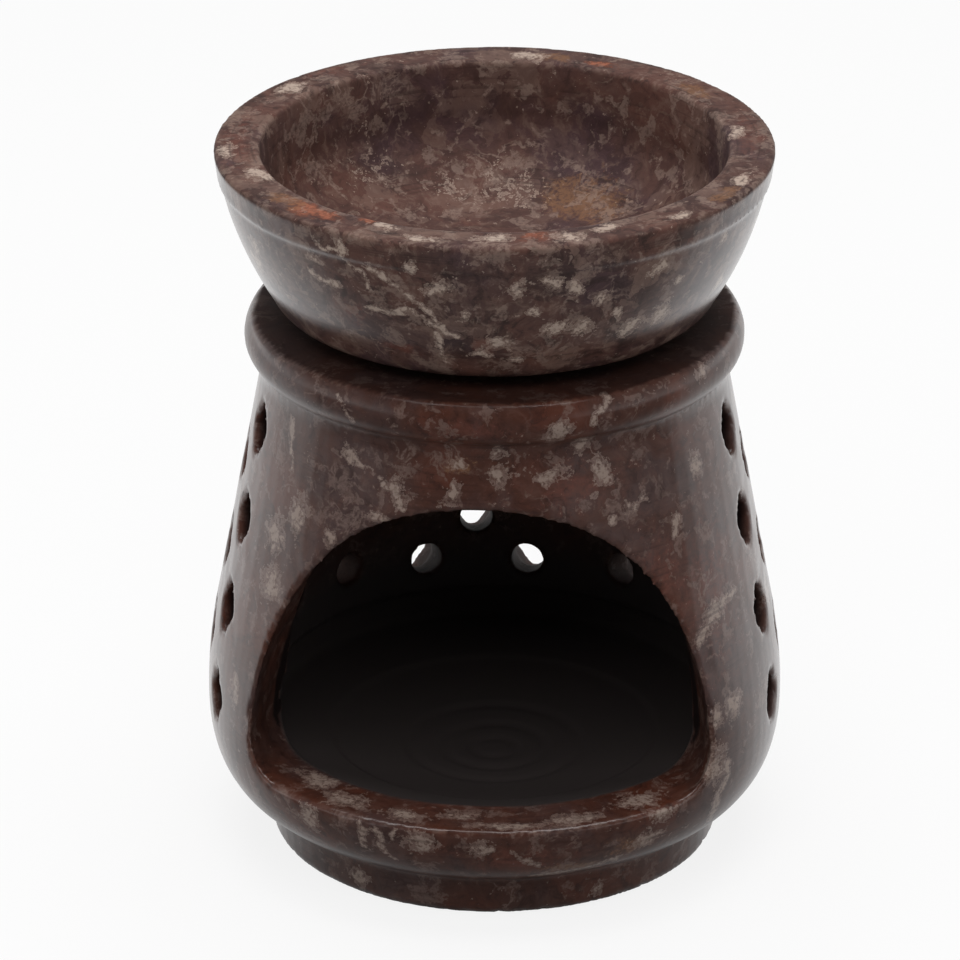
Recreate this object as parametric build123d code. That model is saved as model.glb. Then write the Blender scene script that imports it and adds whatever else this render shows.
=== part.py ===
"""Soapstone oil burner: a turned and pierced base with an arched candle opening, and a loose oil bowl on top.

Millimetres, +Z up. The origin is the centre of the foot's underside, and the arched opening faces -Y.
Both pieces are turned on the Z axis, so each is one half outline revolved about it.
"""

import os
from math import atan2, acos, cos, hypot, radians, sin, sqrt, tan

from build123d import *

# Base, outside: a foot, a round belly, a flank that leans in to the neck, and a collar
foot_radius = 31.4        # underside of the foot, where it meets the table
foot_edge = 0.4           # small round at the foot's bottom edge
foot_flare = 0.6          # the foot is this much wider at its top
foot_height = 5.8
foot_ledge = 1.3          # the belly stands out this far over the foot
belly_radius = 40.4       # widest circle of the base
belly_height = 20.5       # height of that circle
belly_fullness = 0.77     # how closely the belly's lower curve follows the corner over the foot
flank_radius = 70.0       # upper curve of the belly, before the straight flank
neck_radius = 32.4
neck_height = 69.4        # top of the flank
neck_band = 2.3           # plain band between the flank and the collar
collar_step = 0.9         # overhang of the collar over the neck band
collar_height = 6.1
collar_bulge = 1.1        # roundness of the collar's side
collar_edge = 0.4         # small round at the collar's top edge

# Base, inside: a flue under the bowl, a chamber that widens downwards, and a dished floor
seat_radius = 21.0        # flue, and lower edge of the cone that carries the bowl
seat_width = 2.6          # width of that cone, seen from above
flue_length = 6.0
chamber_bulge = 2.6       # roundness of the chamber's wall between the flue and the ring
ring_radius = 30.2        # chamber wall above the turned shoulder ring
ring_height = 21.3
ring_step = 1.2           # the wall is undercut this much below the ring
floor_edge_height = 16.6  # where the dished floor meets the wall
floor_height = 10.3       # lowest point of the floor
candle_ring_radius = 23.3 # shallow ring that keeps a tealight in the middle
candle_ring_depth = 0.5

# Arched opening: a three-centred arch over a level sill, with jambs that close in towards the chamber
sill_height = 17.2
sill_corner = 5.5
crown_drop = 7.4          # crown of the arch below the top of the flank
crown_radius = 26.5
crown_lean = 1.0          # the hand-cut arch leans this far towards +X at its crown
haunch_radius = 50.0
haunch_angle = 40.0       # where the crown arc meets the haunch arcs, in degrees above level
jamb_draft = 14.0         # degrees that each jamb turns in
arch_stop = 4.0           # the cut ends this far in front of the axis

# Pierced holes: one drilled hole each, opened on the outside with a knife into four blunt lobes
drill_radius = 2.3
hole_dip = 9.0            # degrees that the lowest holes behind the opening fall towards the outside
low_row = 4               # first of those rows
lobe_rise = 3.5           # ends of the upper and lower lobes, from the hole's centre
lobe_spread = 2.6         # ends of the side lobes, from the hole's centre
lobe_tip = 0.7            # half width of each lobe's blunt end
lobe_notch = 1.75         # corners between the lobes, across and up from the hole's centre
carve_depth = 4.5
row_count = 7
row_pitch = 6.6           # height between a row and the staggered row under it
top_row_drop = 6.1        # first row below the top of the flank
back_drop = 6.0           # the rows sink this much from the sides to the back
column_count = 17
first_column = 80.0       # degrees from the front, counted towards +X
column_step = 13.75
close_step = 12.25        # closer columns in the second half of the round
close_count = 7
undrilled = ((6, 4), (10, 4))  # column and row of two places behind the opening that have no hole
plain_angle = 65.0        # plain stone between the opening and the first column, in degrees from the front

# Oil bowl
seat_gap = 0.2            # clearance of the bowl in its seat
underside_angle = 18.0    # slope of the bowl's underside and of the seat
bowl_bottom_radius = 16.5
bowl_turn_radius = 30.3   # where underside and side would meet without the round between them
bowl_turn_round = 2.2     # how far that round reaches along both
bowl_bulge = 0.75         # roundness of the bowl's side
rim_radius = 38.4
rim_rise = 24.4           # rim above the collar's top
rim_band = 4.1            # upright band below the rim
band_lean = 0.5           # the band is this much narrower at its lower edge
band_step = 0.35          # turned step under the band
rim_wall = 6.4
rim_edge = 0.5            # round on the rim's outer and inner edges
cavity_depth = 18.6
cavity_lip = 7.0          # steep part of the inner wall
cavity_lean = 0.9
cavity_floor_radius = 12.0
cavity_fullness = 0.55    # how closely the hollow follows the corner between its floor and its wall

collar_bottom = neck_height + neck_band
collar_top = collar_bottom + collar_height
seat_slope = tan(radians(underside_angle))
crown_height = neck_height - crown_drop


def flank_tangent():
    """Where the belly's upper curve runs into the straight flank, as (radius, height)."""
    centre = belly_radius - flank_radius
    across, up = neck_radius - centre, neck_height - belly_height
    angle = atan2(up, across) - acos(flank_radius / hypot(across, up))
    return centre + flank_radius * cos(angle), belly_height + flank_radius * sin(angle)


def outside_radius(height):
    """Radius of the base's outside at a height between the belly's widest circle and the neck."""
    tangent_radius, tangent_height = flank_tangent()
    if height < tangent_height:
        return belly_radius - flank_radius + sqrt(flank_radius**2 - (height - belly_height) ** 2)
    share = (height - tangent_height) / (neck_height - tangent_height)
    return tangent_radius + share * (neck_radius - tangent_radius)


def turned(outline):
    """Solid of revolution about Z from a closed half outline, begun in the plain stone beside the opening."""
    turn = radians(plain_angle)
    upright = Plane(origin=(0, 0, 0), x_dir=(sin(turn), -cos(turn), 0), z_dir=(-cos(turn), -sin(turn), 0))
    return revolve(upright * make_face(outline), Axis.Z, 360)


def swelling(start, end, bulge):
    """Even curve from start to end that stands off their chord by bulge, to the right of its direction."""
    across, up = end[0] - start[0], end[1] - start[1]
    reach = 2 * bulge / hypot(across, up)
    pull = ((start[0] + end[0]) / 2 + reach * up, (start[1] + end[1]) / 2 - reach * across)
    return Bezier(start, pull, end)


def quarter_round(start, corner, end):
    """Quarter circle that rounds a square corner, from start to end."""
    centre = (start[0] + end[0] - corner[0], start[1] + end[1] - corner[1])
    share = sqrt(0.5)
    middle = tuple(c + share * (k - c) for c, k in zip(centre, corner))
    return ThreePointArc(start, middle, end)


def base_outline():
    """Half outline of the base, up the outside and down the inside."""
    foot_top = (foot_radius + foot_flare, foot_height)
    ledge = (foot_top[0] + foot_ledge, foot_height + foot_ledge / 2)
    belly = (belly_radius, belly_height)
    belly_pull = (belly_radius, belly_height - belly_fullness * (belly_height - ledge[1]))
    tangent = flank_tangent()
    neck = (neck_radius, neck_height)
    flank_lean = (tangent[0] - neck[0]) / (neck[1] - tangent[1])
    flank_pull = (belly_radius, tangent[1] - (belly_radius - tangent[0]) / flank_lean)
    collar_radius = neck_radius + collar_step
    collar_foot = (collar_radius, collar_bottom)
    collar_head = (collar_radius + collar_edge, collar_top - collar_edge)
    seat_edge = (seat_radius + seat_width, collar_top)
    seat_foot = (seat_radius, collar_top - seat_width * seat_slope)
    flue_foot = (seat_radius, seat_foot[1] - flue_length)
    undercut = (ring_radius + ring_step, ring_height - ring_step / 2)
    floor_edge = (ring_radius + ring_step, floor_edge_height)
    floor_rise = (floor_edge_height - floor_height) / floor_edge[0] ** 2
    ring_edge = (candle_ring_radius, floor_height + floor_rise * candle_ring_radius**2)
    ring_foot = (candle_ring_radius - candle_ring_depth, ring_edge[1] - candle_ring_depth)
    apron_height = floor_height + floor_rise * floor_edge[0] * ring_edge[0]
    apron_pull = ((floor_edge[0] + ring_edge[0]) / 2, apron_height)
    return Curve() + [
        Line((0, 0), (foot_radius - foot_edge, 0)),
        quarter_round((foot_radius - foot_edge, 0), (foot_radius, 0), (foot_radius, foot_edge)),
        Line((foot_radius, foot_edge), foot_top),
        Line(foot_top, ledge),
        Bezier(ledge, belly_pull, belly),
        Bezier(belly, flank_pull, tangent),
        Line(tangent, neck),
        Line(neck, (neck_radius, collar_bottom)),
        Line((neck_radius, collar_bottom), collar_foot),
        swelling(collar_foot, collar_head, collar_bulge),
        quarter_round(collar_head, (collar_head[0], collar_top), (collar_radius, collar_top)),
        Line((collar_radius, collar_top), seat_edge),
        Line(seat_edge, seat_foot),
        Line(seat_foot, flue_foot),
        swelling(flue_foot, (ring_radius, ring_height), -chamber_bulge),
        Line((ring_radius, ring_height), undercut),
        Line(undercut, floor_edge),
        Bezier(floor_edge, apron_pull, ring_edge),
        Line(ring_edge, ring_foot),
        Bezier(ring_foot, (ring_foot[0] / 2, floor_height), (0, floor_height)),
        Line((0, floor_height), (0, 0)),
    ]


def arch_section(widening):
    """Outline of the arched opening on an upright plane, its width multiplied by widening."""
    centre_height = crown_height - crown_radius
    turn = radians(haunch_angle)
    joint = (crown_radius * cos(turn), centre_height + crown_radius * sin(turn))
    haunch_centre = (joint[0] - haunch_radius * cos(turn), joint[1] - haunch_radius * sin(turn))

    def haunch(height):
        return haunch_centre[0] + sqrt(haunch_radius**2 - (height - haunch_centre[1]) ** 2)

    jamb_foot = sill_height + sill_corner
    half_width = haunch(jamb_foot)
    middle_height = (jamb_foot + joint[1]) / 2
    inset = sill_corner * (1 - sqrt(0.5))
    right = [
        (half_width - sill_corner, sill_height),
        (half_width - inset, sill_height + inset),
        (half_width, jamb_foot),
        (haunch(middle_height), middle_height),
        joint,
    ]
    left = [(-x, z) for x, z in reversed(right)]

    def leaning(point):
        rise = (point[1] - sill_height) / (crown_height - sill_height)
        return point[0] * widening + crown_lean * rise, point[1]

    right, left = [leaning(point) for point in right], [leaning(point) for point in left]
    outline = Curve() + [
        Line(left[-1], right[0]),
        ThreePointArc(*right[0:3]),
        ThreePointArc(*right[2:5]),
        ThreePointArc(right[4], leaning((0, crown_height)), left[0]),
        ThreePointArc(*left[0:3]),
        ThreePointArc(*left[2:5]),
    ]
    return make_face(outline), half_width


def arch_cut():
    """Wedge of stone taken out for the arched opening, wider at the front than at the chamber."""
    half_width = arch_section(1.0)[1]
    edge_depth = sqrt(belly_radius**2 - half_width**2)
    sections = []
    for depth in (belly_radius * 1.2, arch_stop):
        widening = 1 + tan(radians(jamb_draft)) * (depth - edge_depth) / half_width
        sections.append(Plane.XZ.offset(depth) * arch_section(widening)[0])
    return loft(sections, ruled=True)


def column_angle(column):
    """Angle of a column of holes from the front, in degrees, counted towards +X and round the back."""
    close = max(0, column - (column_count - 1 - close_count))
    return first_column + column_step * (column - close) + close_step * close


def pierced_hole(angle, height, fall):
    """One through hole with its four carved lobes, pointing out of the base and falling by an angle in degrees."""
    turn, dip = radians(angle), radians(fall)
    outwards = Vector(sin(turn) * cos(dip), -cos(turn) * cos(dip), -sin(dip))
    outside = outside_radius(height) / cos(dip)
    middle = height + outside * sin(dip)
    place = Plane(origin=(0, 0, middle), x_dir=(cos(turn), sin(turn), 0), z_dir=outwards)
    start = seat_radius / 2
    drill = Pos(0, 0, start) * extrude(Circle(drill_radius), outside + carve_depth - start)
    quarter = [(lobe_tip, lobe_rise), (lobe_notch, lobe_notch), (lobe_spread, lobe_tip)]
    half = quarter + [(x, -y) for x, y in reversed(quarter)]
    lobes = make_face(Polyline(*half, *[(-x, y) for x, y in reversed(half)], close=True))
    carving = Pos(0, 0, outside - carve_depth) * extrude(lobes, 2 * carve_depth)
    return place * (drill + carving)


def pierced_holes():
    """All holes: staggered rows round the sides and back, the lowest row only beside the opening."""
    holes = []
    for column in range(column_count):
        angle = column_angle(column)
        beside_opening = column in (0, column_count - 1)
        for row in range(column % 2, row_count, 2):
            if row == row_count - 1 and not beside_opening or (column, row) in undrilled:
                continue
            sink = back_drop * max(0, -cos(radians(angle)))
            fall = hole_dip if row >= low_row and abs(angle - 180) < 60 else 0
            holes.append(pierced_hole(angle, neck_height - top_row_drop - row * row_pitch - sink, fall))
    return holes


def burner_base():
    """Turned base with its arched opening and pierced holes."""
    return turned(base_outline()) - arch_cut() - pierced_holes()


def bowl_outline():
    """Half outline of the bowl, up the outside and down the inside."""
    lift = seat_gap / cos(radians(underside_angle))

    def underside(radius):
        return collar_top + lift + (radius - seat_radius - seat_width) * seat_slope

    rim_top = collar_top + rim_rise
    edge = rim_top - rim_edge
    bottom = underside(bowl_bottom_radius)
    turn = (bowl_turn_radius, underside(bowl_turn_radius))
    turn_start = (turn[0] - bowl_turn_round, underside(turn[0] - bowl_turn_round))
    band_foot = (rim_radius - band_lean, rim_top - rim_band)
    side_top = (band_foot[0] - band_step, band_foot[1])
    side_share = bowl_turn_round / hypot(side_top[0] - turn[0], side_top[1] - turn[1])
    side_start = tuple(t + side_share * (s - t) for t, s in zip(turn, side_top))
    inner_radius = rim_radius - rim_wall
    lip_foot = (inner_radius - cavity_lean, rim_top - cavity_lip)
    floor = rim_top - cavity_depth
    wall_pull = (lip_foot[0], lip_foot[1] - cavity_fullness * (lip_foot[1] - floor))
    floor_pull = (cavity_floor_radius + cavity_fullness * (lip_foot[0] - cavity_floor_radius), floor)
    return Curve() + [
        Line((0, bottom), (bowl_bottom_radius, bottom)),
        Line((bowl_bottom_radius, bottom), turn_start),
        Bezier(turn_start, turn, side_start),
        swelling(side_start, side_top, bowl_bulge),
        Line(side_top, band_foot),
        Line(band_foot, (rim_radius, edge)),
        quarter_round((rim_radius, edge), (rim_radius, rim_top), (rim_radius - rim_edge, rim_top)),
        Line((rim_radius - rim_edge, rim_top), (inner_radius + rim_edge, rim_top)),
        quarter_round((inner_radius + rim_edge, rim_top), (inner_radius, rim_top), (inner_radius, edge)),
        Line((inner_radius, edge), lip_foot),
        Bezier(lip_foot, wall_pull, floor_pull, (cavity_floor_radius, floor)),
        Line((cavity_floor_radius, floor), (0, floor)),
        Line((0, floor), (0, bottom)),
    ]


def oil_bowl():
    """Loose bowl for oil and water, resting in the cone at the top of the base."""
    return turned(bowl_outline())


os.makedirs("parts", exist_ok=True)
export_step(burner_base(), "parts/burner_base.step")
export_step(oil_bowl(), "parts/oil_bowl.step")
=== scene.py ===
"""Soapstone oil burner: a carved base with an arched candle opening, and a loose turned bowl on it."""

import math
import random
from functools import partial

import bmesh
import bpy
import numpy as np
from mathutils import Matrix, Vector, noise
from mathutils.bvhtree import BVHTree


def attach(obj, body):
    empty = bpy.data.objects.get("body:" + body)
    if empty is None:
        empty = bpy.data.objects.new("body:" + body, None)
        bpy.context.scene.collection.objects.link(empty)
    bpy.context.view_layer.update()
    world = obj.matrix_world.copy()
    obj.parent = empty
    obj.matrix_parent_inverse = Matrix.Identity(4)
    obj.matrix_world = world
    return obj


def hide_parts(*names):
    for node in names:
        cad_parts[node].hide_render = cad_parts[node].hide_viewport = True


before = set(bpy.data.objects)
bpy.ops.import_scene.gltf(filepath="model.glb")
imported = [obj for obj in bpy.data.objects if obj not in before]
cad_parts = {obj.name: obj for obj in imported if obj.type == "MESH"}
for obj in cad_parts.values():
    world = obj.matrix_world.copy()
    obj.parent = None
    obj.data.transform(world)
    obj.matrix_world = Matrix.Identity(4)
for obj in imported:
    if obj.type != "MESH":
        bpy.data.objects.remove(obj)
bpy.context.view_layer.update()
scene = bpy.context.scene
MM = 0.001

# Burner base
# One block of brown soapstone, turned on a lathe, hollowed from the top, then cut and drilled by hand.
# It is polished and waxed outside, with pale flecks in the stone. Painted shade darkens its chamber, its holes,
# the jambs of the opening and the collar's top under the bowl.


def srgb(code):
    """Linear colour of an sRGB hex value."""
    parts = [int(code[i : i + 2], 16) / 255 for i in (1, 3, 5)]
    return [p / 12.92 if p <= 0.04045 else ((p + 0.055) / 1.055) ** 2.4 for p in parts] + [1.0]


def carved_copy(node, name, facet):
    """Even-faceted copy of a solid, and how far each of its points stands out on an arris, in mm."""
    shape = bmesh.new()
    shape.from_mesh(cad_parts[node].data)
    bmesh.ops.remove_doubles(shape, verts=shape.verts, dist=0.001 * MM)
    surface = BVHTree.FromBMesh(shape)
    mesh = bpy.data.meshes.new(name)
    shape.to_mesh(mesh)
    shape.free()
    piece = bpy.data.objects.new(name, mesh)
    scene.collection.objects.link(piece)
    remesh = piece.modifiers.new("even_facets", "REMESH")
    remesh.mode = "VOXEL"
    remesh.voxel_size = facet * MM
    piece.data = bpy.data.meshes.new_from_object(piece.evaluated_get(bpy.context.evaluated_depsgraph_get()))
    piece.modifiers.clear()
    piece.data.materials.clear()

    shape = bmesh.new()
    shape.from_mesh(piece.data)
    for _ in range(4):
        bmesh.ops.smooth_vert(
            shape, verts=shape.verts, factor=0.5, use_axis_x=True, use_axis_y=True, use_axis_z=True
        )
    shape.normal_update()
    arris = []
    for vert in shape.verts:
        on_solid = surface.find_nearest(vert.co)[0]
        arris.append((on_solid - vert.co).dot(vert.normal) / MM)
        vert.co = on_solid
    worn = [vert for vert, edge in zip(shape.verts, arris) if abs(edge) > 0.06]
    for _ in range(2):
        bmesh.ops.smooth_vert(
            shape, verts=worn, factor=0.5, use_axis_x=True, use_axis_y=True, use_axis_z=True
        )
    shape.to_mesh(piece.data)
    shape.free()
    for face in piece.data.polygons:
        face.use_smooth = True
    return piece, np.array(arris)


def layout(piece):
    """Angle from the opening in degrees, height and radius in mm, for each point of a piece."""
    flat = np.empty(3 * len(piece.data.vertices), dtype=np.float32)
    piece.data.vertices.foreach_get("co", flat)
    x, y, z = flat.reshape(-1, 3).T / MM
    return np.degrees(np.arctan2(x, -y)), z, np.hypot(x, y)


def depth_under(height, radius):
    """How deep each point lies under the turned outside at its height, in mm."""
    ring = np.round(height / 0.4).astype(int)
    ring -= ring.min()
    outer = np.zeros(ring.max() + 1)
    np.maximum.at(outer, ring, radius)
    return outer[ring] - radius


def drift(piece):
    """Irregular sideways and upward shifts in mm at each point, which roughen the edges of marks."""
    places = [vert.co / MM for vert in piece.data.vertices]
    shifts = []
    for start in (Vector((0, 0, 0)), Vector((40, 70, 20))):
        broad = np.array([1.1 * noise.noise(p / 3.4 + start) for p in places])
        shifts.append(broad + np.array([0.6 * noise.noise(p / 1.3 + start) for p in places]))
    return shifts


def spots(turn, level, radius, places):
    """Strength of drawn patches, each as angle, level, half width and half height, fading to its edge."""
    field = np.zeros(len(turn))
    for angle, at, across, up in places:
        away = np.radians((turn - angle + 180) % 360 - 180) * radius
        field = np.maximum(field, 1 - np.hypot(away / across, (level - at) / up))
    return field


def streaks(turn, level, radius, lines):
    """Strength of drawn streaks, each a width and a list of (angle, level), fading to its two sides."""
    field = np.zeros(len(turn))
    for width, line in lines:
        for (a0, l0), (a1, l1) in zip(line, line[1:]):
            x = np.radians((turn - a0 + 180) % 360 - 180) * radius
            y = level - l0
            dx, dy = math.radians(a1 - a0) * radius, l1 - l0
            share = np.clip((x * dx + y * dy) / (dx * dx + dy * dy), 0, 1)
            field = np.maximum(field, 1 - np.hypot(x - share * dx, y - share * dy) / (width / 2))
    return field


def wear(piece, arris, sink, chip):
    """Press a piece's points in by a slow unevenness, hewn depths, and nicks on its arrises, in mm."""
    normals = [vert.normal.copy() for vert in piece.data.vertices]
    for vert, normal, edge, hewn, nicked in zip(piece.data.vertices, normals, arris, sink, chip):
        place = vert.co / MM
        depth = 0.06 * (1 + noise.noise(place / 9)) + hewn
        if edge > 0.08:
            nick = max(0.0, noise.noise(place / 2.2) + 0.6 * noise.noise(place / 0.9) - 0.1)
            depth += min(1.0, edge / 0.25) * nicked * (0.2 + 1.6 * nick)
        vert.co -= normal * depth * MM
    piece.data.update()


def keep(piece, fields):
    """Keep fields of values as attributes of a piece's points, for its material."""
    for name, values in fields.items():
        stored = piece.data.attributes.new(name, "FLOAT", "POINT")
        stored.data.foreach_set("value", np.clip(values, 0, 1).astype(np.float32))


def node(tree, kind, sockets=(), out=0, **settings):
    """Add a node with its settings. Each socket gets a value, or the output that feeds it."""
    made = tree.nodes.new(kind)
    for name, value in settings.items():
        setattr(made, name, value)
    for key, value in sockets.items() if isinstance(sockets, dict) else enumerate(sockets):
        if isinstance(value, bpy.types.NodeSocket):
            tree.links.new(value, made.inputs[key])
        else:
            made.inputs[key].default_value = value
    return made.outputs[out]


def soapstone(name, ground, pale, mottle, fleck_low):
    """Soapstone, turned, rubbed smooth and waxed: a dull gloss over clouds, fragments, flecks and veins.

    It has five ground tones, two pale ones, the piece's own stained places, painted shade in its hollows, and
    fine lines from the lathe.
    """
    material = bpy.data.materials.new(name)
    material.use_nodes = True
    add = partial(node, material.node_tree)
    place = add("ShaderNodeTexCoord", out="Object")

    # The clouds are bent and the fragments crumpled: size of the bends and how far they reach, in mm
    bent = []
    for size, reach in ((7, 9), (2.2, 4)):
        sockets = {"Vector": place, "Scale": 1 / (size * MM), "Detail": 3.0}
        bend = add("ShaderNodeTexNoise", sockets, out="Color")
        bent.append(add("ShaderNodeVectorMath", [bend, [reach * MM] * 3, place], operation="MULTIPLY_ADD"))
    flow, crumple = bent
    parts = add("ShaderNodeSeparateXYZ", [place]).node.outputs
    around = add("ShaderNodeCombineXYZ", [parts[0], parts[1]])
    across = add("ShaderNodeVectorMath", [around], out="Value", operation="LENGTH")
    rings = add("ShaderNodeCombineXYZ", {0: across, 2: parts[2]})

    # Patterns: coordinates, size in mm, detail and roughness
    patterns = {
        "fine": (place, 0.6, 4.0, 0.65), "zone": (flow, 17, 4.0, 0.6), "cloud": (flow, 2.4, 7.0, 0.7),
        "edge": (crumple, 1.6, 5.0, 0.7), "fleck": (crumple, 3.4, 4.0, 0.6), "seam": (flow, 9, 5.0, 0.62),
        "break": (place, 8, 2.0, 0.55), "lathe": (rings, 0.7, 3.0, 0.6), "rub": (flow, 6, 3.0, 0.55),
        "nick": (place, 1.6, 4.0, 0.55),
    }
    grain, drawn = {}, {}
    for pattern, (where, size, detail, roughness) in patterns.items():
        sockets = {"Vector": where, "Scale": 1 / (size * MM), "Detail": detail, "Roughness": roughness}
        grain[pattern] = add("ShaderNodeTexNoise", sockets)
    for mark in ("pale", "rust", "ochre", "red", "arris", "oil", "painted_chamber_shade", "raw", "calm"):
        drawn[mark] = add("ShaderNodeAttribute", out="Fac", attribute_name=mark)
    # Fragments 4.2 mm across, and a dot in some cells 2.8 mm across
    fragment = add("ShaderNodeTexVoronoi", {"Vector": crumple, "Scale": 1 / (4.2 * MM)}, out="Color")
    fragment = add("ShaderNodeSeparateColor", [fragment])
    cell = add("ShaderNodeTexVoronoi", {"Vector": crumple, "Scale": 1 / (2.8 * MM)}).node.outputs
    chance = add("ShaderNodeSeparateColor", [cell["Color"]], out=1)
    dot = add("ShaderNodeMath", [chance, 0.33, -0.13], operation="MULTIPLY_ADD")
    dot = add("ShaderNodeMath", [dot, cell["Distance"]], operation="SUBTRACT")
    seam = add("ShaderNodeMath", [grain["seam"], 0.5], operation="SUBTRACT")
    seam = add("ShaderNodeMath", [seam], operation="ABSOLUTE")
    ragged = add("ShaderNodeMath", [grain["fine"], 1.2, -1.85], operation="MULTIPLY_ADD")
    ragged = add("ShaderNodeMath", [grain["edge"], 2.5, ragged], operation="MULTIPLY_ADD")
    # The drawn marks, with ragged edges
    place_of = {}
    for mark in ("pale", "rust", "ochre", "red"):
        place_of[mark] = add("ShaderNodeMath", [drawn[mark], 1.5, ragged], operation="MULTIPLY_ADD")

    # Shares of each mark: the pattern that it follows, where that starts and ends, and the share at each
    shares = {
        "brown": (grain["zone"], 0.38, 0.52, 0.0, 1.0), "russet": (grain["zone"], 0.5, 0.64, 0.0, 1.0),
        "dark fragment": (fragment, 0.1, 0.4, 0.5 * mottle, 0.0),
        "light fragment": (fragment, 0.65, 0.95, 0.0, 0.6 * mottle),
        "dark cloud": (grain["cloud"], 0.34, 0.5, 0.75, 0.0),
        "light cloud": (grain["cloud"], 0.5, 0.68, 0.0, 0.3 + 0.5 * mottle),
        "rust": (place_of["rust"], 0.45, 1.0, 0.0, 0.85),
        "bright rust": (place_of["rust"], 0.85, 1.4, 0.0, 0.8),
        "ochre": (place_of["ochre"], 0.4, 1.1, 0.0, 0.7), "red": (place_of["red"], 0.4, 1.4, 0.0, 0.65),
        "fleck": (grain["fleck"], fleck_low, fleck_low + 0.05, 0.0, 0.5),
        "dot": (dot, -0.04, 0.06, 0.0, 0.65),
        "seam": (seam, 0.0, 0.03, 0.65, 0.0), "break": (grain["break"], 0.48, 0.66, 0.0, 1.0),
        "dull": (place_of["pale"], 0.42, 0.56, 0.0, 0.65),
        "bright": (place_of["pale"], 0.72, 1.1, 0.0, 0.85),
        "speckle": (grain["fine"], 0.36, 0.54, 0.3, 1.0),
        "lathe": (grain["lathe"], 0.32, 0.5, 0.5, 0.0), "rub": (grain["rub"], 0.45, 0.6, 0.0, 1.0),
        "nick": (grain["nick"], 0.5, 0.66, 0.0, 0.3),
    }
    share = {}
    for mark, ramp in shares.items():
        share[mark] = add("ShaderNodeMapRange", ramp, interpolation_type="SMOOTHSTEP")
    share["outline"] = add("ShaderNodeMath", [place_of["pale"], 0.54, 0.06], operation="COMPARE")
    share["outline"] = add("ShaderNodeMath", [share["outline"], 0.35], operation="MULTIPLY")
    limits = {"seam": share["break"], "lathe": share["rub"], "nick": drawn["arris"]}
    for mark in ("outline", "bright rust", "ochre", "seam", "bright", "lathe", "nick"):
        limit = limits.get(mark, share["speckle"])
        share[mark] = add("ShaderNodeMath", [share[mark], limit], operation="MULTIPLY")
    light = share["fleck"]
    for mark in ("seam", "dot", "dull"):
        light = add("ShaderNodeMath", [light, share[mark]], operation="MAXIMUM")
    light = add("ShaderNodeMath", [light, share["speckle"]], operation="MULTIPLY")

    plain = srgb(ground[0])
    for part, tone in ((share["brown"], ground[1]), (share["russet"], ground[2])):
        plain = add("ShaderNodeMix", {0: part, 6: plain, 7: srgb(tone)}, out=2, data_type="RGBA")
    colour = plain
    for part, tone in (
        (share["dark fragment"], srgb(ground[3])), (share["light fragment"], srgb(ground[4])),
        (share["dark cloud"], srgb(ground[3])), (share["light cloud"], srgb(ground[4])),
        (drawn["calm"], plain), (share["rust"], srgb("#653a2b")), (share["bright rust"], srgb("#a06149")),
        (share["ochre"], srgb("#7e5a40")), (share["red"], srgb("#6b3d32")), (light, srgb(pale[0])),
        (share["bright"], srgb(pale[1])), (share["outline"], srgb(pale[1])), (share["lathe"], srgb(ground[3])),
        # The first of these two dark tones is painted shade on the base's holes, jambs and collar top, and oil
        # stain in the bowl; the second is painted shade in the chamber
        (share["nick"], srgb(pale[1])), (drawn["oil"], srgb("#1d1413")), (drawn["painted_chamber_shade"], srgb("#403a39")),
    ):
        colour = add("ShaderNodeMix", {0: part, 6: colour, 7: tone}, out=2, data_type="RGBA")

    uneven = add("ShaderNodeMath", [light, 0.25], operation="MULTIPLY")
    for pattern, depth in (("fine", 0.1), ("lathe", 0.6)):
        uneven = add("ShaderNodeMath", [grain[pattern], depth, uneven], operation="MULTIPLY_ADD")
    relief = add("ShaderNodeBump", {"Strength": 0.3, "Distance": 0.08 * MM, "Height": uneven})
    dull = add("ShaderNodeMapRange", [drawn["raw"], 0.0, 1.0, 0.3, 0.65])
    wax = add("ShaderNodeMapRange", [drawn["raw"], 0.0, 1.0, 0.85, 0.0])
    shader = material.node_tree.nodes["Principled BSDF"]
    feeds = {"Base Color": colour, "Roughness": dull, "Coat Weight": wax}
    for socket, feed in {**feeds, "Normal": relief, "Coat Normal": relief}.items():
        material.node_tree.links.new(feed, shader.inputs[socket])
    shader.inputs["Specular IOR Level"].default_value = 0.15
    shader.inputs["Coat Roughness"].default_value = 0.22
    return material


# Levels in mm, and angles in degrees from the middle of the opening
SILL = 17.2
ARCH_TOP = 63
HOLES_FOOT, HOLES_TOP = 18, 69
COLLAR_FOOT, COLLAR_TOP = 70.5, 77.3
SEAT_FOOT = 76
OPENING_SIDE = 62
BACK_SIDE = 125
base, base_arris = carved_copy("burner_base", "carved_base", 0.6)
turn, height, radius = layout(base)
depth = depth_under(height, radius)
outside = depth < 1.4
top = (height > COLLAR_TOP) & (depth > 0.6)
aside, upward = drift(base)
drawn_turn, drawn_height = turn + np.degrees(aside / radius.clip(5)), height + upward

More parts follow.
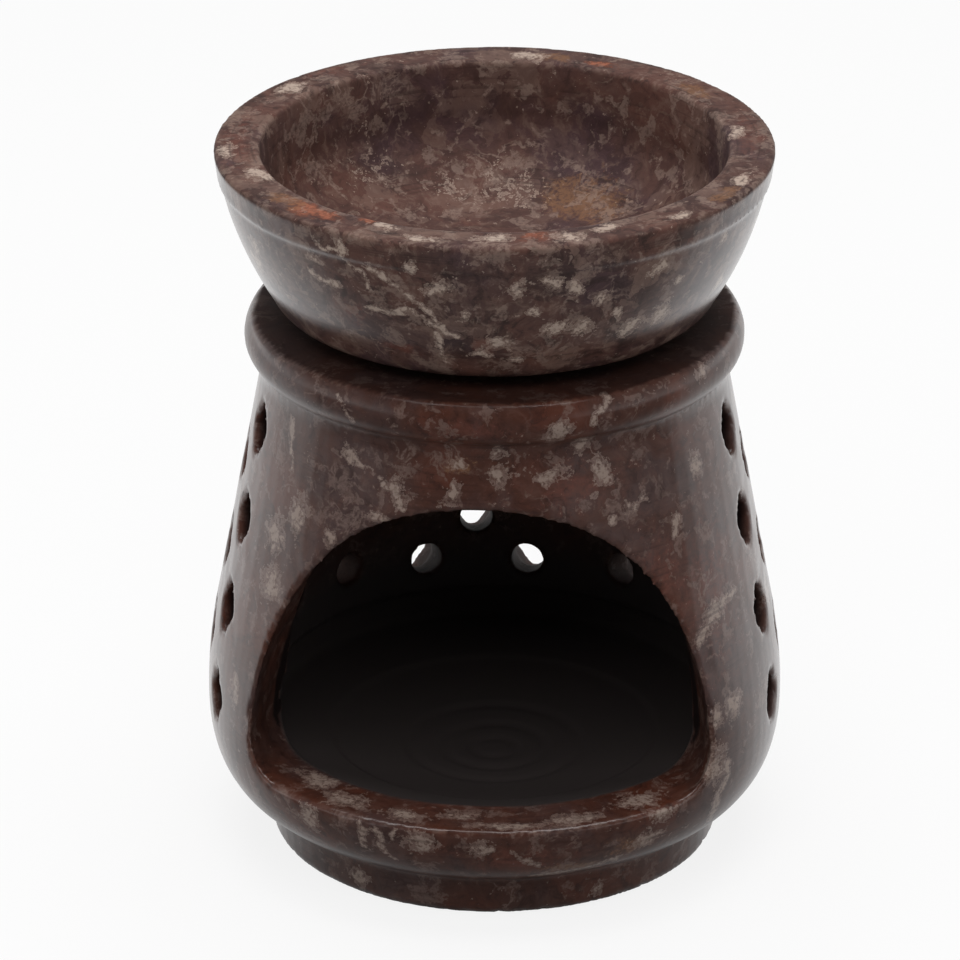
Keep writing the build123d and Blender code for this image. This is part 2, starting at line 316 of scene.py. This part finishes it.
# Pale patches in the stone, as angle and height, then half width and half height in mm
base_patches = [
    (-31, 67, 1.8, 2.0), (-18, 64, 2.0, 3.0), (-22, 60, 2.4, 1.4), (-45, 56.5, 2.6, 4.2),
    (-52, 52, 3.2, 5.0), (-51, 45, 4.0, 3.6), (-34, 55.5, 1.5, 1.8), (-59, 28, 2.0, 4.0),
    (-4, 69, 1.9, 1.1), (-4, 64.6, 1.8, 2.6), (-7, 63, 1.0, 1.8), (7, 70, 1.9, 1.5),
    (6.5, 67, 2.4, 1.9), (18, 66.7, 5.0, 1.3), (19.5, 73.6, 2.3, 2.3), (26, 70.6, 1.6, 1.9),
    (31, 66.6, 3.3, 3.2), (29, 63, 0.9, 0.9), (42, 61.5, 1.4, 1.2), (38, 60.5, 1.4, 1.4),
    (60, 63, 1.8, 3.0), (32, 59.6, 1.0, 1.2), (50, 56.4, 1.6, 2.4), (61, 76.4, 2.4, 1.6),
    (59, 41.8, 3.4, 2.2), (61, 28, 3.4, 3.2), (54, 27.5, 2.4, 2.6), (54, 21, 4.0, 4.6),
    (41, 16.6, 4.0, 2.2), (37, 12.4, 4.0, 2.6), (-35, 14.5, 2.4, 3.4), (-9.5, 14.8, 3.2, 3.0),
    (3, 14.8, 3.0, 2.0), (-31, 2.6, 2.4, 2.4), (32, 2.2, 1.8, 1.6),
]
# More round the back
scatter = random.Random(7)
base_patches += [
    (scatter.uniform(70, 290), scatter.uniform(6, 76), scatter.uniform(1.2, 4), scatter.uniform(1.2, 3.5))
    for _ in range(40)
]
# Pale streaks: width in mm, then angles and heights along each
base_lines = [
    (1.4, [(-33, 76.3), (-29, 73)]), (1.6, [(-53, 68.5), (-49.5, 62)]),
    (1.2, [(-31, 67), (-23, 66), (-16, 62)]), (1.4, [(32, 77.6), (27, 74.4)]),
    (2.2, [(67, 42.7), (59, 41.8), (52, 39)]), (2.4, [(58, 20), (56, 11)]),
    (1.6, [(-22.6, 16.7), (-21.7, 12)]), (1.4, [(-20, 15.5), (-15.4, 10.3)]),
    (1.2, [(-13, 18), (-15.7, 14.7)]), (1.4, [(9, 13.7), (13.7, 10.8)]),
    (1.6, [(13, 8.3), (22, 8.6), (31, 9.6)]), (1.2, [(-24, 60.3), (-20, 59)]),
]
# Patches on the sill's top, as angle and radius
sill_patches = [
    (-40, 34, 5, 3), (-29, 36.5, 5, 3), (-14, 37, 5, 2.4), (-3, 35, 4, 1.6), (8, 38.2, 8, 1.8),
    (22, 37.6, 7, 2.2), (38, 36, 6, 3.4),
]
# Reddish and ochre places, as angle and height
warm = [(0, 74, 14, 3), (25, 65, 16, 7), (45, 50, 12, 12), (60, 45, 14, 24), (10, 12, 20, 5)]
ochre_places = [(22, 9.5, 9, 1.8), (-4, 68.6, 3, 2), (34, 12, 6, 3)]

# The chamber's wall by height, and the parts of the surface
wall_heights = [16, 21, 21.5, 40, 52, 62, 71, 76]
wall_radii = [31.6, 31.6, 30.4, 28.6, 26.8, 24.5, 21.2, 21.2]
inner_wall = np.interp(height, wall_heights, wall_radii)
chamber = (radius < inner_wall + 0.8) & (height > 9) & (height < SEAT_FOOT)
pierced = (np.abs(turn) > OPENING_SIDE) & (height > HOLES_FOOT) & (height < HOLES_TOP) & ~chamber
sill = (np.abs(height - SILL) < 0.6) & (depth > 0.3) & ~chamber
jamb = (np.abs(turn) < OPENING_SIDE) & (height > SILL + 0.6) & (height < ARCH_TOP) & (depth > 0.7) & ~chamber
collar = (height > COLLAR_FOOT) & outside
# Painted shade inside the chamber, which darkens its wall and floor where little light reaches
chamber_shade = np.where(chamber, (inner_wall + 0.8 - radius) / 0.6, 0)
# Turned rings in the floor, by their radii, which are drawn paler in places, and rough cutting in the jambs
rings = sum(np.exp(-(((radius - r) / 0.8) ** 2)) for r in (3.0, 7.0, 12.0)) * ((height < 16) & chamber)
rough = np.array([max(0.0, noise.noise(vert.co / MM / 2.6) + 0.3) for vert in base.data.vertices])
wear(base, base_arris, 0.25 * rings + 0.35 * rough * jamb, np.where(radius < inner_wall + 2, 0.4, 0.12))
pale = np.maximum(
    spots(drawn_turn, drawn_height, radius, base_patches), streaks(drawn_turn, drawn_height, radius, base_lines)
)
pale = np.where(sill, spots(drawn_turn, radius + upward, radius, sill_patches), np.where(outside, pale, 0))
# Paler marks along the floor's rings, which also lighten the painted chamber shade there
pale_rings = (1.3 * rings * rough).clip(0, 1)
# Painted shade darkens the holes inside: fully at the sides, a little in the middle of the back, and not
# between
oiled = np.interp(np.abs(turn), [BACK_SIDE, BACK_SIDE + 1, 154, 160], [1, 0, 0, 0.4])
oiled = np.where(pierced, np.clip((depth - 0.3) / 1.2, 0, oiled), 0)
keep(base, {
    "pale": np.maximum(pale, pale_rings),
    "ochre": np.where(outside, spots(drawn_turn, drawn_height, radius, ochre_places), 0),
    "red": np.where(outside, spots(drawn_turn, drawn_height, radius, warm), 0) * 0.7,
    "arris": (base_arris - 0.08) / 0.2,
    # Painted shade also on the jambs of the opening, and painted shadow on the collar's top under the bowl
    "oil": oiled + 0.6 * top + 0.35 * jamb,
    "painted_chamber_shade": chamber_shade * (1 - 0.8 * pale_rings),
    "raw": np.where(chamber | top | jamb | pierced & (depth > 0.6), 1, 0.3 * collar),
})
base_tones = ("#4a3633", "#492c23", "#552f23", "#341e19", "#604239")
base.data.materials.append(soapstone("brown_soapstone", base_tones, ("#7b665e", "#97857a"), 0.3, 0.57))
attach(base, "base")
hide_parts("burner_base")

# Oil bowl
# A second block of soapstone, turned as a thick dish with a flat rim, with more pale veins than the base.
# It only rests in the conical seat at the top of the base, and lifts off for filling and cleaning.

bowl, bowl_arris = carved_copy("oil_bowl", "turned_bowl", 0.5)
turn, height, radius = layout(bowl)

# The middle of the bowl's wall by height, and the parts of the surface
RIM_LEVEL, RIM_INSIDE = 101.5, 31.6
SIDE_FOOT = 29.8
mid_wall = np.interp(height, [83.2, 83.7, 85, 88, 92, 102], [0, 26, 28, 31.5, 33.5, 35.2])
rim = (height > RIM_LEVEL) & (radius > RIM_INSIDE)
inside = (radius < mid_wall) & ~rim
side = (radius > SIDE_FOOT) & ~rim & ~inside

# Pale patches and streaks of the side, as angle and height
side_patches = [
    (-12, 98.4, 1.6, 1.2), (-6.5, 95.8, 2.8, 1.8), (-35, 96.8, 2.2, 1.0), (-30, 93.6, 1.6, 1.0),
    (10.5, 95.7, 2.4, 1.7), (17, 96.5, 3.4, 1.0), (22, 95.4, 1.5, 2.2), (41.5, 96, 2.4, 1.9),
    (46, 88, 3.0, 2.8), (18, 89, 3.0, 1.7), (25, 88.4, 2.6, 1.9), (38, 86.8, 2.8, 2.0),
    (6, 86.6, 2.4, 1.4), (2, 84.6, 2.4, 1.3), (-27, 99.4, 1.8, 1.2), (14, 92, 1.4, 1.2),
    (29, 93, 1.8, 1.0), (33, 90, 1.4, 1.6), (48, 93, 1.6, 1.2), (-1, 91.5, 1.2, 1.4),
    (11, 84, 2.0, 1.0),
]
side_patches += [
    (scatter.uniform(60, 310), scatter.uniform(83, 100), scatter.uniform(1.2, 3.2), scatter.uniform(1, 2.2))
    for _ in range(30)
]
side_lines = [
    (1.3, [(-21, 97.2), (-15, 95.6), (-9, 91.5), (-4, 87.8)]),
    (1.5, [(-23, 90.3), (-13, 91.2), (-8, 89.4), (-4, 87.8)]), (1.3, [(-8, 87.6), (-6, 82.9)]),
    (1.1, [(-37, 94), (-31, 93.4)]), (1.0, [(-33, 100), (-24, 97), (-21, 94)]),
]
# Pale patches of the rim and the bowl's floor, then stains, as angle and radius
rim_patches = [
    (5, 34.8, 3.6, 2.4), (21, 36, 3.4, 2.2), (30, 34.5, 2.6, 2.2), (-10, 36.4, 3.6, 1.6),
    (-20, 34, 2.4, 1.6), (48, 36.5, 3, 1.6), (73, 35.7, 3, 2), (177, 34.6, 3.6, 2.2),
    (-122, 35.5, 3.4, 2.2), (-65, 34, 3.4, 2), (-80, 36.5, 4, 1.6), (102, 33.4, 3, 1.6),
]
floor_patches = [(179, 23.5, 9, 4.5), (-160, 24, 5, 3.5), (-139, 28.5, 6, 3)]
rust_patches = [(-40, 34.6, 8.5, 3.2), (159, 34.1, 3.6, 2), (14, 34.4, 3.6, 2.4), (-25, 33, 3, 1.6)]
ochre_patches = [
    (131, 34.6, 6, 2.6), (64, 36, 5, 2.2), (172, 34.6, 5, 2), (153, 23.5, 10, 6), (-47, 35, 5, 2.5),
]
rim_reds = [(-85, 35, 20, 4), (-135, 36.5, 10, 3), (100, 35, 14, 3.5), (14, 35, 7, 3)]
# Reddish places of the side, as angle and height
red_patches = [(-28, 89.2, 4.5, 3), (-17, 84, 5, 2.4), (3, 86, 4, 2)]
aside, upward = drift(bowl)
drawn_turn, drawn_height = turn + np.degrees(aside / radius.clip(5)), height + upward
drawn_radius = radius + upward
wear(bowl, bowl_arris, np.zeros(len(turn)), np.full(len(turn), 0.12))
pale = np.maximum(
    spots(drawn_turn, drawn_height, radius, side_patches), streaks(drawn_turn, drawn_height, radius, side_lines)
)
pale = np.where(side, pale, 0) + np.where(rim, 1.1 * spots(drawn_turn, drawn_radius, radius, rim_patches), 0)
pale += np.where(inside, 0.35 * spots(drawn_turn, drawn_radius, radius, floor_patches), 0)
red = np.where(rim, 0.15 + 0.6 * spots(drawn_turn, drawn_radius, radius, rim_reds), 0)
keep(bowl, {
    "pale": pale,
    "rust": np.where(rim, 1.3 * spots(drawn_turn, drawn_radius, radius, rust_patches), 0),
    "ochre": np.where(rim | inside, 1.2 * spots(drawn_turn, drawn_radius, radius, ochre_patches), 0),
    "red": np.where(side, spots(drawn_turn, drawn_height, radius, red_patches), red),
    "arris": (bowl_arris - 0.08) / 0.2,
    "oil": np.where(rim, 0.14, np.where(inside, 0.06, 0)),
    "raw": np.where(side, 0, 1),
    "calm": np.where(inside, 0.35, 0),
})
bowl_tones = ("#4b3739", "#543c37", "#5e4038", "#30221f", "#7d665b")
bowl.data.materials.append(soapstone("veined_soapstone", bowl_tones, ("#8e796e", "#b9a698"), 0.8, 0.55))
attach(bowl, "bowl")
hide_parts("oil_bowl")

# Floor, light and camera
# A plain white floor in a white light tent, bright at the sides and behind, dimmer above and in front.
# The floor is white to the camera and, behind the burner, in reflections. It throws less light back.

bpy.ops.mesh.primitive_plane_add(size=6.0)
floor = bpy.context.object
floor.name = "studio_floor"
paper = bpy.data.materials.new("white_paper")
paper.use_nodes = True
add = partial(node, paper.node_tree)
ray = add("ShaderNodeLightPath").node.outputs
spread = add("ShaderNodeSeparateXYZ", [add("ShaderNodeTexCoord", out="Object")]).node.outputs
along = add("ShaderNodeMath", [spread[0], -0.12, spread[1]], operation="MULTIPLY_ADD")
behind = add("ShaderNodeMapRange", [along, -0.05, 0.03], interpolation_type="SMOOTHSTEP")
mirrored = add("ShaderNodeMath", [ray["Is Glossy Ray"], ray["Is Transmission Ray"]], operation="MAXIMUM")
mirrored = add("ShaderNodeMath", [mirrored, behind], operation="MULTIPLY")
seen = add("ShaderNodeMath", [ray["Is Camera Ray"], mirrored], operation="MAXIMUM")
dim = {0: ray["Is Glossy Ray"], 6: (0.4, 0.4, 0.4, 1), 7: (0.12, 0.12, 0.12, 1)}
grey = add("ShaderNodeBsdfDiffuse", [add("ShaderNodeMix", dim, out=2, data_type="RGBA")])
lit = add("ShaderNodeBsdfDiffuse", [(0.8, 0.8, 0.8, 1)])
white = add("ShaderNodeEmission", [(1, 1, 1, 1), 1.0])
shown = add("ShaderNodeMixShader", [0.85, lit, white])
shown = add("ShaderNodeMixShader", [seen, grey, shown])
paper.node_tree.links.new(shown, paper.node_tree.nodes["Material Output"].inputs["Surface"])
floor.data.materials.append(paper)

world = bpy.data.worlds.new("light_tent")
scene.world = world
world.use_nodes = True
add = partial(node, world.node_tree)
way = add("ShaderNodeSeparateXYZ", [add("ShaderNodeTexCoord", out="Generated")]).node.outputs
sideways = add("ShaderNodeMath", [way[0]], operation="ABSOLUTE")
# Brightness of the tent: the direction that it changes with, from where to where, and the brightness at each
sides, back, roof = [
    add("ShaderNodeMapRange", ramp, interpolation_type="SMOOTHSTEP")
    for ramp in ((sideways, 0.4, 0.9, 0.1, 1.5), (way[1], 0.2, 0.8, 0.0, 0.9), (way[2], 0.0, 0.4, 1.0, 0.3))
]
tent = add("ShaderNodeMath", [sides, back], operation="ADD")
tent = add("ShaderNodeMath", [tent, roof], operation="MULTIPLY")
ray = add("ShaderNodeLightPath").node.outputs
strength = add("ShaderNodeMath", [tent, ray["Is Camera Ray"]], operation="MAXIMUM")
world.node_tree.links.new(strength, world.node_tree.nodes["Background"].inputs["Strength"])
world.node_tree.nodes["Background"].inputs["Color"].default_value = (1, 1, 1, 1)

# Two soft boxes: place, width and depth in metres, and radiance. The front one is not mirrored in the wax.
soft_boxes = (("front_box", (0, -0.6, 0.75), (0.7, 0.5), 3.1), ("top_box", (0, 0.1, 1.0), (0.8, 0.8), 4.0))
for name, spot, size, radiance in soft_boxes:
    lamp = bpy.data.lights.new(name, "AREA")
    lamp.shape = "RECTANGLE"
    lamp.size, lamp.size_y = size
    lamp.energy = radiance * size[0] * size[1] * math.pi
    box = bpy.data.objects.new(name, lamp)
    scene.collection.objects.link(box)
    box.location = spot
    box.visible_glossy = name != "front_box"
    box.rotation_euler = (Vector(spot) - Vector((0, 0, 0.05))).to_track_quat("Z", "Y").to_euler()

scene.view_settings.view_transform = "Standard"

# Fitted to the photograph's turned outlines: how high the camera stands, how far off, and its long lens
VIEW_HEIGHT = math.radians(24.16)
VIEW_TURN = math.radians(5.1)
VIEW_DISTANCE = 0.91647
AIM = Vector((0, 0, 0.05))
FRAME_PIXELS = 960
FOCAL_PIXELS = 6566.5
AIM_PIXEL = (494.5, 491.9)
lens = bpy.data.cameras.new("photo_camera")
lens.sensor_width = 36.0
lens.lens = lens.sensor_width * FOCAL_PIXELS / FRAME_PIXELS
lens.shift_x = (FRAME_PIXELS / 2 - AIM_PIXEL[0]) / FRAME_PIXELS
lens.shift_y = (AIM_PIXEL[1] - FRAME_PIXELS / 2) / FRAME_PIXELS
camera = bpy.data.objects.new("photo_camera", lens)
scene.collection.objects.link(camera)
level = math.cos(VIEW_HEIGHT)
sight = Vector((math.sin(VIEW_TURN) * level, -math.cos(VIEW_TURN) * level, math.sin(VIEW_HEIGHT)))
camera.location = AIM + VIEW_DISTANCE * sight
camera.rotation_euler = sight.to_track_quat("Z", "Y").to_euler()
scene.camera = camera
